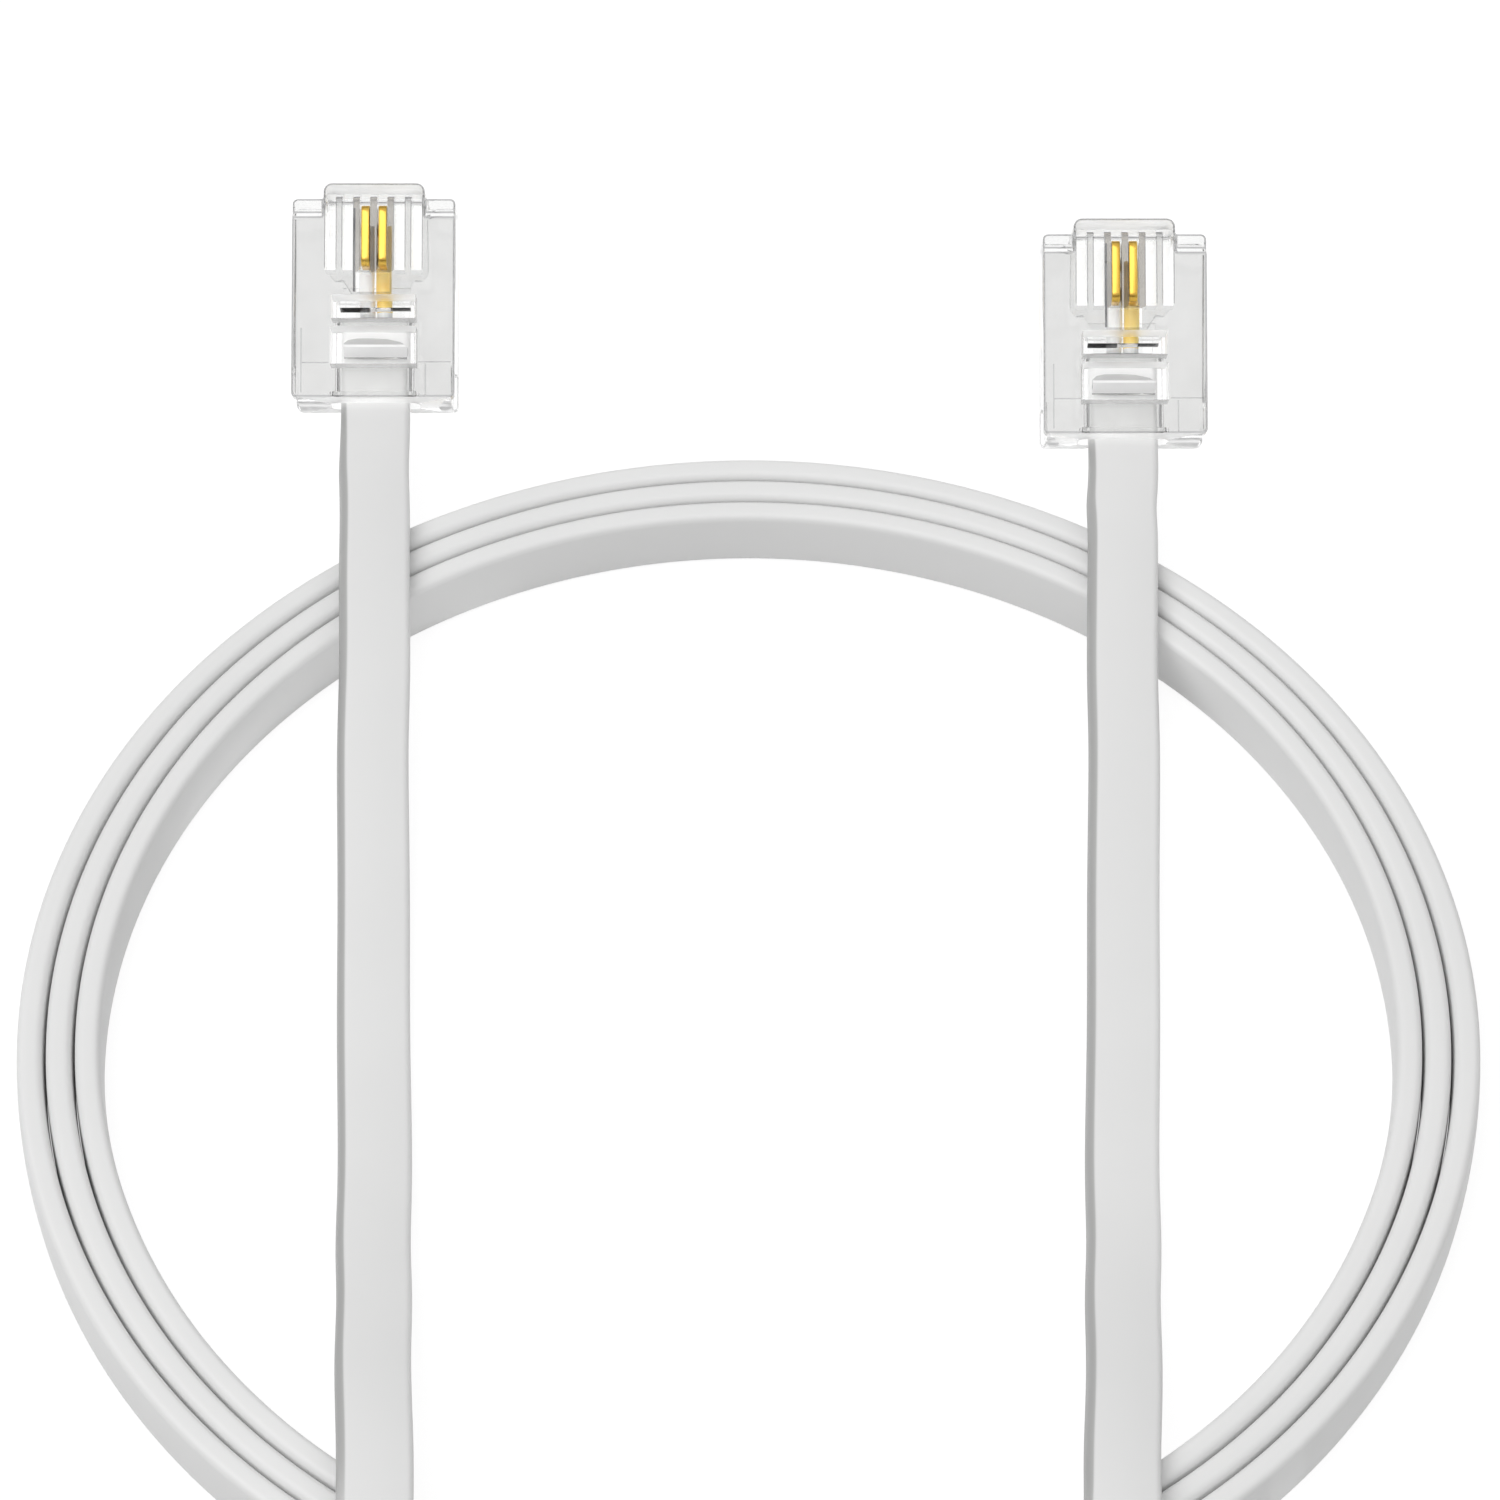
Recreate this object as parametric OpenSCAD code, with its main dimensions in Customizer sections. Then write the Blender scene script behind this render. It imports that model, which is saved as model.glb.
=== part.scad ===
// Flat two-core telephone-type patch cord with two clear 6-position modular plugs.
// Millimetres, +Z up. The origin is on the surface that the cord lies on, midway
// between the two plugs. The coil of three turns stands on edge behind the origin
// (towards -Y), and the two straight ends lie over it and end in the plugs, which
// are propped nose-up on their latches with their contacts facing up.

/* [Plug body] */
// Width of the plug body across the contacts
body_w = 9.65; // [9.45:0.05:9.75]
// Height of the plug body from its underside to its contact face
body_h = 6.6; // [6.4:0.05:6.8]
// Length of the plug body from its rear face to its shoulders
body_l = 11.95; // [11.7:0.05:12.2]
// Length of the step in front of the shoulders' top edge
step_l = 1.25; // [1.0:0.05:1.4]
// Width of the nose that stands out in front
nose_w = 6; // [5.8:0.05:6.1]
// How far the nose stands out in front of the shoulders
nose_l = 0.95; // [0.85:0.05:1.05]
// Number of contact slots in the nose
slots = 6; // [6]
// Distance from one contact slot to the next
pitch = 1.02; // [1.0:0.01:1.04]
// Width of a contact slot
slot_w = 0.62; // [0.56:0.01:0.66]

/* [Contacts and wires] */
// Thickness of a contact blade
blade_t = 0.5; // [0.44:0.01:0.52]
// Radius over a wire's insulation
wire_r = 0.46; // [0.42:0.01:0.47]
// Radius of the copper core in a wire
core_r = 0.22; // [0.18:0.01:0.24]

/* [Latch] */
// Width of the latch where it locks in the jack
latch_w = 5.9; // [5.6:0.05:5.95]
// Width of the latch's finger
finger_w = 3.25; // [3.0:0.05:3.5]
// Thickness of the latch
latch_t = 1.2; // [1.1:0.05:1.25]
// Length of the latch from its hinge to the middle of its round tip
latch_l = 10.5; // [10.2:0.1:10.8]
// Angle between the latch at rest and the plug's underside
latch_deg = 21; // [20:1:22]

/* [Cord] */
// Width of the flat cord
cord_w = 4.1; // [4.0:0.05:4.2]
// Thickness of the flat cord
cord_t = 1.62; // [1.55:0.01:1.65]
// Outer radius of the coil
coil_r = 41; // [40.5:0.5:41.5]
// Number of turns in the coil
turns = 3; // [3]

/* [Layout] */
// Distance of each plug's middle from the middle plane
plug_x = 22.2; // [22.0:0.1:22.4]
// Place of the left plug's rear edge along Y
plug_a_y = -2.7; // [-2.9:0.1:-2.5]
// Place of the right plug's rear edge along Y
plug_b_y = -5.5; // [-5.7:0.1:-5.3]
// Angle that the plugs' noses are raised by
tilt = 32; // [31:1:33]
// Place of the coil's centre along Y
coil_y = -47.8; // [-48.0:0.1:-47.6]

/* [Hidden] */
$fn = 48;
wire_z = 2.9;                       // height of the wires and of the cord's middle in the plug
jacket_l = 5.2;                     // how far the jacket goes into the plug
hinge_y = body_l + 0.15;            // the latch's hinge line in the plug
hinge_z = -0.75;
tip_r = latch_t / 2;
tip_y = hinge_y - latch_l * cos(latch_deg);
tip_z = hinge_z - latch_l * sin(latch_deg);
plug_z = tip_r - tip_y * sin(tilt) - tip_z * cos(tilt);   // puts the latch's tip on the surface
slot_y = 7.58;                      // rear end of the contact slots
wire_x = pitch / 2;                 // the two middle positions are used

// The cord's route from the left plug to the outer turn, from the coil's centre:
// x, y, z, and the roll of its flat side (0 lies flat, 90 stands on edge). The free
// ends keep a slight twist, which shows a little of their left edges.
route_a = [
    [-22.2, 43.55, 5.66, 0], [-22.2, 41.5, 4.95, 8], [-22.2, 39.2, 4.85, 12], [-22.1, 37.2, 5.1, 12],
    [-22, 35, 5.32, 12], [-21.9, 31, 5.38, 12], [-21.8, 28, 5.2, 12], [-21.7, 24, 4.4, 11],
    [-21.7, 20, 3.4, 10], [-21.6, 16, 2.6, 10], [-21.4, 10, 1.65, 9], [-21.1, 0, 1.07, 9],
    [-20.7, -10, 1.65, 9], [-20.6, -14.5, 2.35, 10], [-20.4, -18, 3.05, 10], [-20.3, -22, 4, 11],
    [-20.1, -26, 4.95, 12], [-19.9, -29.5, 5.37, 12], [-19.8, -33, 5.38, 12], [-19.7, -36.5, 5.3, 12],
    [-19.6, -40, 5, 18], [-19.5, -44, 4.2, 32], [-19.4, -48, 3.1, 58], [-19, -52, 2.4, 80], [-17.8, -56, 2.1, 90],
    [-15.1, -59.2, 2.07, 90], [-10.5, -61.6, 2.07, 90], [-5.3, -61.8, 2.07, 90], [-0.5, -59.8, 2.07, 90],
    [3, -56, 2.07, 90], [4.8, -51.2, 2.07, 90], [6.2, -46, 2.07, 90], [7.5, -43.1, 2.07, 90],
    [9.4, -40.6, 2.07, 90], [11.9, -38.8, 2.07, 90], [14, -37.7, 2.07, 90]
];
// The cord's route from the top of the coil, where the inner turn climbs over, round a
// curl and over the coil to the right plug.
route_b = [
    [-7.2, -37, 4.95, 6], [-4.7, -37.9, 4.95, 0], [-2, -38.4, 4.95, 0], [3, -38.8, 4.95, 0],
    [9, -39, 4.95, 0], [15, -39.1, 4.95, 0], [20, -39.2, 4.7, 0], [24, -39.3, 4, 22],
    [28, -39.5, 3.1, 52], [32, -39.9, 2.4, 80], [37, -41, 2.07, 90], [41.1, -44.2, 2.07, 90],
    [43.5, -48.8, 2.07, 90], [43.7, -54, 2.07, 90], [41.7, -58.8, 2.07, 90], [37.9, -62.3, 2.07, 90],
    [32.9, -63.8, 2.07, 90], [27.8, -63.2, 2.07, 90], [23.4, -60.4, 2.15, 82], [20.8, -56, 2.5, 62],
    [20, -51.5, 3.4, 42], [19.8, -47, 5, 22], [19.7, -43.5, 6.1, 6], [19.6, -40, 6.4, 0],
    [19.6, -36.5, 6, -3], [19.8, -33, 5.6, -9], [19.9, -29.8, 5.37, -12], [20.1, -26.3, 4.98, -12],
    [20.3, -22, 4, -11], [20.4, -18, 3.05, -10], [20.6, -14.5, 2.35, -10], [20.7, -10, 1.65, -9],
    [21.1, 0, 1.07, -9], [21.4, 10, 1.65, -9], [21.6, 16, 2.6, -10], [21.7, 20, 3.4, -10],
    [21.7, 24, 4.4, -11], [21.8, 28, 5.2, -12], [21.9, 31, 5.38, -12], [22, 34.8, 5.32, -12],
    [22, 36.1, 5.22, -11], [22.1, 37.4, 5.1, -9], [22.2, 39.1, 5.1, -5], [22.2, 40.75, 5.66, 0]
];

// ---- the flat cord as one swept solid ----
function unit(v) = v / norm(v);
function spot(r, i) = [r[i][0], r[i][1], r[i][2]];
function heading(r, i) = unit(spot(r, min(i + 1, len(r) - 1)) - spot(r, max(i - 1, 0)));
// heading at the two ends follows the plug's tilt or the coil
function section() = let (a = cord_w / 2, b = cord_t / 2, c = 0.55 * b)
    [[a, -b + c], [a, b - c], [a - c, b], [-a + c, b], [-a, b - c], [-a, -b + c], [-a + c, -b], [a - c, -b]];
function ring(r, i, h) =
    let (side = unit(cross(h, [0, 0, 1])), up = cross(side, h),
         w = cos(r[i][3]) * side + sin(r[i][3]) * up, n = cross(w, h))
    [for (q = section()) spot(r, i) + q[0] * w + q[1] * n];

module ribbon(r, first, last) {
    k = len(section());
    m = len(r);
    pts = [for (i = [0 : m - 1])
        each ring(r, i, i == 0 && norm(first) > 0 ? first : i == m - 1 && norm(last) > 0 ? last : heading(r, i))];
    sides = [for (i = [0 : m - 2]) for (j = [0 : k - 1]) let (j2 = (j + 1) % k, a = i * k + j, b = i * k + j2)
        each [[a, b, b + k], [a, b + k, a + k]]];
    polyhedron(points = pts,
        faces = concat([[for (j = [k - 1 : -1 : 0]) j]], sides, [[for (j = [0 : k - 1]) (m - 1) * k + j]]));
}

module leg_a() {
    color("whitesmoke") translate([0, coil_y, 0])
        ribbon(route_a, [0, -cos(tilt), -sin(tilt)], [0, 0, 0]);
}

module leg_b() {
    color("whitesmoke") translate([0, coil_y, 0])
        ribbon(route_b, [0, 0, 0], [0, cos(tilt), sin(tilt)]);
}

// three turns side by side on edge: flat underneath, each turn's top edge rounded
module coil() {
    r_in = coil_r - turns * cord_t;
    color("gainsboro") translate([0, coil_y, 0]) rotate_extrude($fn = 96) {
        translate([r_in, 0]) square([turns * cord_t, cord_w - cord_t / 2]);
        for (i = [0 : turns - 1])
            translate([r_in + (i + 0.5) * cord_t, cord_w - cord_t / 2]) circle(cord_t / 2);
    }
}

// ---- the plug, in its own frame: X across, Y towards the nose, Z towards the contacts ----
module at_plug(s) {
    translate([s * plug_x, s < 0 ? plug_a_y : plug_b_y, plug_z]) rotate([tilt, 0, 0]) children();
}

module rod_y(x, y0, y1, z, r) {
    translate([x, y0, z]) rotate([-90, 0, 0]) cylinder(r = r, h = y1 - y0);
}

module nose_outline() {
    r = 0.7;
    translate([-nose_w / 2, 10.5]) square([nose_w, body_l + nose_l - 10.5 - r]);
    translate([-nose_w / 2 + r, 10.5]) square([nose_w - 2 * r, body_l + nose_l - 10.5]);
    for (s = [-1, 1]) translate([s * (nose_w / 2 - r), body_l + nose_l - r]) circle(r);
}

module plug_housing() {
    color("lightcyan", 0.45) difference() {
        union() {
            // main block, with a step down in front of the shoulders' top edge
            translate([-body_w / 2, 0, 0]) cube([body_w, body_l - step_l, body_h]);
            translate([-body_w / 2, body_l - step_l - 0.1, 0]) cube([body_w, step_l + 0.1, body_h - 0.5]);
            // block that holds the contact slots
            translate([-nose_w / 2 - 0.1, slot_y, 0]) cube([nose_w + 0.2, body_l - slot_y, body_h]);
            // nose
            linear_extrude(body_h - 0.55) nose_outline();
            // lug in front of the latch's hinge
            translate([0, 0, -1.35]) linear_extrude(1.4) intersection() {
                nose_outline();
                translate([-nose_w / 2, hinge_y]) square([nose_w, 2]);
            }
        }
        // contact slots, open to the contact face and the front
        for (i = [0 : slots - 1])
            translate([(i - (slots - 1) / 2) * pitch - slot_w / 2, slot_y, 4.3]) cube([slot_w, 4.6, 3]);
        // narrow slits that grip the two blades, and the wires' two holes
        for (s = [-1, 1]) {
            translate([s * wire_x - blade_t / 2 - 0.02, slot_y + 0.3, 2.35]) cube([blade_t + 0.04, 3.75, 2.2]);
            rod_y(s * wire_x, 5, 10.9, wire_z, 0.48);
        }
        // cord channel from the rear, with a flared mouth
        translate([-2.35, -1, wire_z - 1.05]) cube([4.7, 7.2, 2.1]);
        translate([-2.65, -1, wire_z - 1.3]) cube([5.3, 1.6, 2.6]);
        // windows over the jacket and over the wires
        translate([-2.55, 2, wire_z + 0.8]) cube([5.1, 2.26, 4]);
        translate([-2.5, 4.72, wire_z + 0.8]) cube([5, 1.42, 4]);
        // hollow for the latch's hinge, and a shallow bay above its finger
        translate([-nose_w / 2 - 1, hinge_y, hinge_z]) rotate([0, 90, 0]) cylinder(r = tip_r + 0.06, h = nose_w + 2);
        translate([-2, -1, -1]) cube([4, 8.2, 1.45]);
        // thin side rebates at the rear end
        for (s = [0, 1]) mirror([s, 0, 0]) translate([body_w / 2 - 0.25, -1, 1.2]) cube([1, 2.95, 4.2]);
    }
}

module plug_latch() {
    color("lightcyan", 0.6) translate([0, hinge_y, hinge_z]) rotate([latch_deg, 0, 0]) {
        translate([-latch_w / 2, 0, 0]) rotate([0, 90, 0]) cylinder(r = tip_r, h = latch_w);
        // wide arm that ends in the two locking shoulders
        translate([-latch_w / 2, -4.3, -tip_r]) cube([latch_w, 4.3, latch_t]);
        // finger with its round tip
        translate([-finger_w / 2, -latch_l, -tip_r]) cube([finger_w, latch_l - 4, latch_t]);
        translate([-finger_w / 2, -latch_l, 0]) rotate([0, 90, 0]) cylinder(r = tip_r, h = finger_w);
        // three grip ridges under the finger
        for (y = [-9.6, -8.6, -7.6])
            translate([-finger_w / 2 + 0.3, y, -tip_r + 0.02]) rotate([0, 90, 0]) cylinder(r = 0.18, h = finger_w - 0.6);
    }
}

// a blade with a rounded top and two points that pierce the wire
module contact(s) {
    color("gold") translate([s * wire_x - blade_t / 2, 0, 0]) rotate([90, 0, 90]) linear_extrude(blade_t) {
        translate([7.95, 4.35]) square([3.65, 1.3]);
        translate([8.45, 4.35]) square([2.65, 1.8]);
        for (y = [8.45, 11.1]) translate([y, 5.65]) circle(0.5);
        polygon([[8.3, 4.4], [8.3, 3.2], [8.65, 2.5], [9, 3.2], [9, 4.4]]);
        polygon([[10.1, 4.4], [10.1, 3.2], [10.45, 2.5], [10.8, 3.2], [10.8, 4.4]]);
    }
}

module wire(s) {
    difference() {
        rod_y(s * wire_x, jacket_l, 10.6, wire_z, wire_r);
        rod_y(s * wire_x, jacket_l - 1, 11.6, wire_z, core_r);
    }
}

module wire_white() { color("white") wire(-1); }
module wire_yellow() { color("orange") wire(1); }
module core(s) { color("peru") rod_y(s * wire_x, jacket_l, 10.6, wire_z, core_r); }

// wedge-shaped bar that is pressed onto the jacket, with the web that it hinges on
module jacket_bar() {
    z = wire_z + cord_t / 2;
    color("lightcyan", 0.7) {
        intersection() {
            translate([-1.95, 0, 0]) rotate([90, 0, 90]) linear_extrude(3.9)
                polygon([[2.5, z], [3.95, z], [3.95, z + 0.5], [3.6, z + 1.15], [2.9, z + 1.15], [2.5, z + 0.3]]);
            translate([0, 5, 0]) rotate([90, 0, 0]) linear_extrude(4)
                polygon([[-1.95, z - 1], [1.95, z - 1], [1.95, z + 0.4], [1.5, z + 1.3], [-1.5, z + 1.3], [-1.95, z + 0.4]]);
        }
        translate([-1.6, 3.5, z + 0.15]) cube([3.2, 0.76, 0.3]);
    }
}

// narrow bar pressed onto the two wires
module wire_bar() {
    z = wire_z + wire_r;
    color("lightcyan", 0.7) {
        translate([-2.1, 0, 0]) rotate([90, 0, 90]) linear_extrude(4.2)
            polygon([[5.35, z], [6, z], [6, z + 0.8], [5.75, z + 1.1], [5.5, z + 1.1], [5.35, z + 0.7]]);
        translate([-2.1, 5.9, z + 0.55]) cube([4.2, 0.24, 0.3]);
    }
}

module jacket_end() {
    color("whitesmoke") translate([0, jacket_l, wire_z]) rotate([90, 0, 0]) linear_extrude(jacket_l) {
        square([cord_w - cord_t, cord_t], center = true);
        for (s = [-1, 1]) translate([s * (cord_w - cord_t) / 2, 0]) circle(cord_t / 2);
    }
}

module plug_a_housing() { at_plug(-1) plug_housing(); }
module plug_a_latch() { at_plug(-1) plug_latch(); }
module plug_a_contact_1() { at_plug(-1) contact(-1); }
module plug_a_contact_2() { at_plug(-1) contact(1); }
module plug_a_jacket_bar() { at_plug(-1) jacket_bar(); }
module plug_a_wire_bar() { at_plug(-1) wire_bar(); }
module plug_a_wire_white() { at_plug(-1) wire_white(); }
module plug_a_wire_yellow() { at_plug(-1) wire_yellow(); }
module plug_a_core_white() { at_plug(-1) core(-1); }
module plug_a_core_yellow() { at_plug(-1) core(1); }
module plug_a_jacket_end() { at_plug(-1) jacket_end(); }
module plug_b_housing() { at_plug(1) plug_housing(); }
module plug_b_latch() { at_plug(1) plug_latch(); }
module plug_b_contact_1() { at_plug(1) contact(-1); }
module plug_b_contact_2() { at_plug(1) contact(1); }
module plug_b_jacket_bar() { at_plug(1) jacket_bar(); }
module plug_b_wire_bar() { at_plug(1) wire_bar(); }
module plug_b_wire_white() { at_plug(1) wire_white(); }
module plug_b_wire_yellow() { at_plug(1) wire_yellow(); }
module plug_b_core_white() { at_plug(1) core(-1); }
module plug_b_core_yellow() { at_plug(1) core(1); }
module plug_b_jacket_end() { at_plug(1) jacket_end(); }

coil();
leg_a();
leg_b();
plug_a_housing();
plug_a_latch();
plug_a_contact_1();
plug_a_contact_2();
plug_a_jacket_bar();
plug_a_wire_bar();
plug_a_wire_white();
plug_a_wire_yellow();
plug_a_core_white();
plug_a_core_yellow();
plug_a_jacket_end();
plug_b_housing();
plug_b_latch();
plug_b_contact_1();
plug_b_contact_2();
plug_b_jacket_bar();
plug_b_wire_bar();
plug_b_wire_white();
plug_b_wire_yellow();
plug_b_core_white();
plug_b_core_yellow();
plug_b_jacket_end();
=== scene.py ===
import math

import bpy
import bmesh
import numpy as np
from mathutils import Matrix, Vector


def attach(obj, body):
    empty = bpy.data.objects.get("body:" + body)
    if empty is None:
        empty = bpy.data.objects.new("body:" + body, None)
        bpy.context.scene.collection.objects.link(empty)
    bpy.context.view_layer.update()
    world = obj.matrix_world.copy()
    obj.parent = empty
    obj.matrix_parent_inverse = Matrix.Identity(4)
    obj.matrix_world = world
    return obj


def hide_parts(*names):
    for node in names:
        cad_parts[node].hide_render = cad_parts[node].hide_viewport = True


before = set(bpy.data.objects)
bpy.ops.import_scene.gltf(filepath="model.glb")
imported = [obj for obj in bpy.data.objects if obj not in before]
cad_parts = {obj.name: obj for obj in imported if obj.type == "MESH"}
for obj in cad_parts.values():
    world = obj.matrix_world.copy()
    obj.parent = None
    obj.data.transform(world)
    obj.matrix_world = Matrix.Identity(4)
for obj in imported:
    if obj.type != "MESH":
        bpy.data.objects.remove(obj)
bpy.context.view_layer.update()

scene = bpy.context.scene
scene.view_settings.view_transform = "Standard"
scene.view_settings.look = "None"
MM = 0.001

# ---------------------------------------------------------------- sizes, as in the CAD model (mm)
COIL_Y = -47.8
COIL_R = 41.0
CORD_W = 4.1
CORD_T = 1.62
TILT = math.radians(32)
PLUGS = {"a": (-22.2, -2.7), "b": (22.2, -5.5)}
BODY_W, BODY_H, BODY_L = 9.65, 6.6, 11.95
WIRE_Z, JACKET_L = 2.9, 5.2
HINGE_Y, HINGE_Z, LATCH_L, LATCH_DEG = 12.1, -0.75, 10.5, 21.0
TIP_R = 0.6
_ty = HINGE_Y - LATCH_L * math.cos(math.radians(LATCH_DEG))
_tz = HINGE_Z - LATCH_L * math.sin(math.radians(LATCH_DEG))
PLUG_Z = TIP_R - _ty * math.sin(TILT) - _tz * math.cos(TILT)
PITCH, SLOT_W, SLOT_Y = 1.02, 0.62, 7.58
WIRE_X = PITCH / 2


def plug_matrix(k):
    x, y = PLUGS[k]
    return (Matrix.Scale(MM, 4) @ Matrix.Translation((x, y, PLUG_Z)) @ Matrix.Rotation(TILT, 4, "X"))


def plug_point(k, x, y, z):
    """A point of a plug's own frame in the row frame, in millimetres."""
    px, py = PLUGS[k]
    return (px + x, py + y * math.cos(TILT) - z * math.sin(TILT), PLUG_Z + y * math.sin(TILT) + z * math.cos(TILT))


# ---------------------------------------------------------------- camera
cam_data = bpy.data.cameras.new("camera")
cam_data.sensor_fit = "HORIZONTAL"
cam_data.sensor_width = 36.0
cam_data.lens = 36.0 * 7000 / 1500
cam_data.shift_x = 0.001
cam_data.clip_start = 0.01
cam_data.clip_end = 20
cam = bpy.data.objects.new("camera", cam_data)
scene.collection.objects.link(cam)
cam.location = (0, (COIL_Y - 227.23) * MM, 323.49 * MM)
cam.rotation_euler = (math.radians(90 - 52.38), 0, 0)
scene.camera = cam

# ---------------------------------------------------------------- the cord's route
# from the coil's centre, mm: x, y, z, roll of the flat side (0 lies flat, 90 stands on edge)
ROUTE_A = [
    (-22.2, 43.55, 5.66, 0), (-22.2, 41.5, 4.95, 8), (-22.2, 39.2, 4.85, 12), (-22.1, 37.2, 5.1, 12),
    (-22, 35, 5.32, 12), (-21.9, 31, 5.38, 12), (-21.8, 28, 5.2, 12), (-21.7, 24, 4.4, 11),
    (-21.7, 20, 3.4, 10), (-21.6, 16, 2.6, 10), (-21.4, 10, 1.65, 9), (-21.1, 0, 1.07, 9),
    (-20.7, -10, 1.65, 9), (-20.6, -14.5, 2.35, 10), (-20.4, -18, 3.05, 10), (-20.3, -22, 4, 11),
    (-20.1, -26, 4.95, 12), (-19.9, -29.5, 5.37, 12), (-19.8, -33, 5.38, 12), (-19.7, -36.5, 5.3, 12),
    (-19.6, -40, 5, 18), (-19.5, -44, 4.2, 32), (-19.4, -48, 3.1, 58), (-19, -52, 2.4, 80), (-17.8, -56, 2.1, 90),
    (-15.1, -59.2, 2.07, 90), (-10.5, -61.6, 2.07, 90), (-5.3, -61.8, 2.07, 90), (-0.5, -59.8, 2.07, 90),
    (3, -56, 2.07, 90), (4.8, -51.2, 2.07, 90), (6.2, -46, 2.07, 90), (7.5, -43.1, 2.07, 90),
    (9.4, -40.6, 2.07, 90), (11.9, -38.8, 2.07, 90), (14, -37.7, 2.07, 90),
]
ROUTE_B = [
    (3, -38.8, 4.95, 0),
    (9, -39, 4.95, 0), (15, -39.1, 4.95, 0), (20, -39.2, 4.7, 0), (24, -39.3, 4, 22),
    (28, -39.5, 3.1, 52), (32, -39.9, 2.4, 80), (37, -41, 2.07, 90), (41.1, -44.2, 2.07, 90),
    (43.5, -48.8, 2.07, 90), (43.7, -54, 2.07, 90), (41.7, -58.8, 2.07, 90), (37.9, -62.3, 2.07, 90),
    (32.9, -63.8, 2.07, 90), (27.8, -63.2, 2.07, 90), (23.4, -60.4, 2.15, 82), (20.8, -56, 2.5, 62),
    (20, -51.5, 3.4, 42), (19.8, -47, 5, 22), (19.7, -43.5, 6.1, 6), (19.6, -40, 6.4, 0),
    (19.6, -36.5, 6, -3), (19.8, -33, 5.6, -9), (19.9, -29.8, 5.37, -12), (20.1, -26.3, 4.98, -12),
    (20.3, -22, 4, -11), (20.4, -18, 3.05, -10), (20.6, -14.5, 2.35, -10), (20.7, -10, 1.65, -9),
    (21.1, 0, 1.07, -9), (21.4, 10, 1.65, -9), (21.6, 16, 2.6, -10), (21.7, 20, 3.4, -10),
    (21.7, 24, 4.4, -11), (21.8, 28, 5.2, -12), (21.9, 31, 5.38, -12), (22, 34.8, 5.32, -12),
    (22, 36.1, 5.22, -11), (22.1, 37.4, 5.1, -9), (22.2, 39.1, 5.1, -5), (22.2, 40.75, 5.66, 0),
]
# the inner turn's climb onto the coil: angle, radius, height, roll
CLIMB = [(-117, 36.95, 2.07, 90), (-113, 36.75, 2.4, 80), (-109, 36.6, 3.2, 66), (-105, 36.75, 4.1, 48),
         (-101, 37.3, 4.7, 28), (-97, 38.0, 4.9, 10), (-93, 38.4, 4.94, 0)]


def smooth_step(t):
    t = min(1.0, max(0.0, t))
    return t * t * (3 - 2 * t)


def coil_points():
    """Three turns, each a thickness inside the last, counted in degrees from the joining point."""
    outer = COIL_R - CORD_T / 2
    out = []
    a = -63.0
    while a < 1080 - 121:
        r = outer
        for start in (256, 616):
            r -= CORD_T * smooth_step((a - start) / 31)
        out.append((r * math.cos(math.radians(a)), r * math.sin(math.radians(a)), 2.07, 90))
        a += 6
    return out


def inside(k, depths):
    """Points of the jacket inside a plug, from the coil's centre."""
    out = []
    for y in depths:
        x, yy, z = plug_point(k, 0, y, WIRE_Z)
        out.append((x, yy - COIL_Y, z, 0))
    return out


climb = [(r * math.cos(math.radians(a)), r * math.sin(math.radians(a)), z, roll) for a, r, z, roll in CLIMB]
control = np.array(inside("a", (JACKET_L, 3.6, 1.8)) + ROUTE_A + coil_points() + climb + ROUTE_B
                   + inside("b", (1.8, 3.6, JACKET_L)), float)


def natural_spline(t, y, q):
    """Natural cubic spline through the points (t, y), read at q."""
    n = len(t)
    h = np.diff(t)
    A = np.zeros((n, n))
    b = np.zeros((n, y.shape[1]))
    A[0, 0] = A[-1, -1] = 1
    for i in range(1, n - 1):
        A[i, i - 1:i + 2] = h[i - 1], 2 * (h[i - 1] + h[i]), h[i]
        b[i] = 6 * ((y[i + 1] - y[i]) / h[i] - (y[i] - y[i - 1]) / h[i - 1])
    m = np.linalg.solve(A, b)
    i = np.clip(np.searchsorted(t, q) - 1, 0, n - 2)
    u, v, hh = (q - t[i])[:, None], (t[i + 1] - q)[:, None], h[i][:, None]
    return (m[i] * v ** 3 + m[i + 1] * u ** 3) / (6 * hh) + (y[i] / hh - m[i] * hh / 6) * v + (y[i + 1] / hh - m[i + 1] * hh / 6) * u


def route():
    """The cord's centreline in the row frame, mm, with its roll, about 0.7 mm from point to point."""
    chord = np.concatenate([[0], np.cumsum(np.linalg.norm(np.diff(control[:, :3], axis=0), axis=1))])
    q = np.linspace(0, chord[-1], int(chord[-1] / 0.2))
    xy = natural_spline(chord, control[:, :2], q)
    zr = np.stack([np.interp(q, chord, control[:, 2]), np.interp(q, chord, control[:, 3])], 1)
    path = np.concatenate([xy, zr], 1)
    # height and roll follow straight lines between the points, so they never overshoot, and are then rounded off
    width = 9
    kernel = np.exp(-0.5 * (np.arange(-3 * width, 3 * width + 1) / width) ** 2)
    kernel /= kernel.sum()
    soft = path.copy()
    for c in (0, 1, 2, 3):
        first, last = path[0, c], path[-1, c]
        d0, d1 = path[1, c] - path[0, c], path[-1, c] - path[-2, c]
        n = 3 * width
        pad = np.concatenate([first + d0 * np.arange(-n, 0), path[:, c], last + d1 * np.arange(1, n + 1)])
        if c > 1:
            soft[:, c] = np.convolve(pad, kernel, "valid")
    path = soft
    s = np.concatenate([[0], np.cumsum(np.linalg.norm(np.diff(path[:, :3], axis=0), axis=1))])
    q = np.linspace(0, s[-1], int(s[-1] / 0.7) + 1)
    out = np.stack([np.interp(q, s, path[:, c]) for c in range(4)], 1)
    out[:, 1] += COIL_Y
    return out, s[-1]


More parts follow.
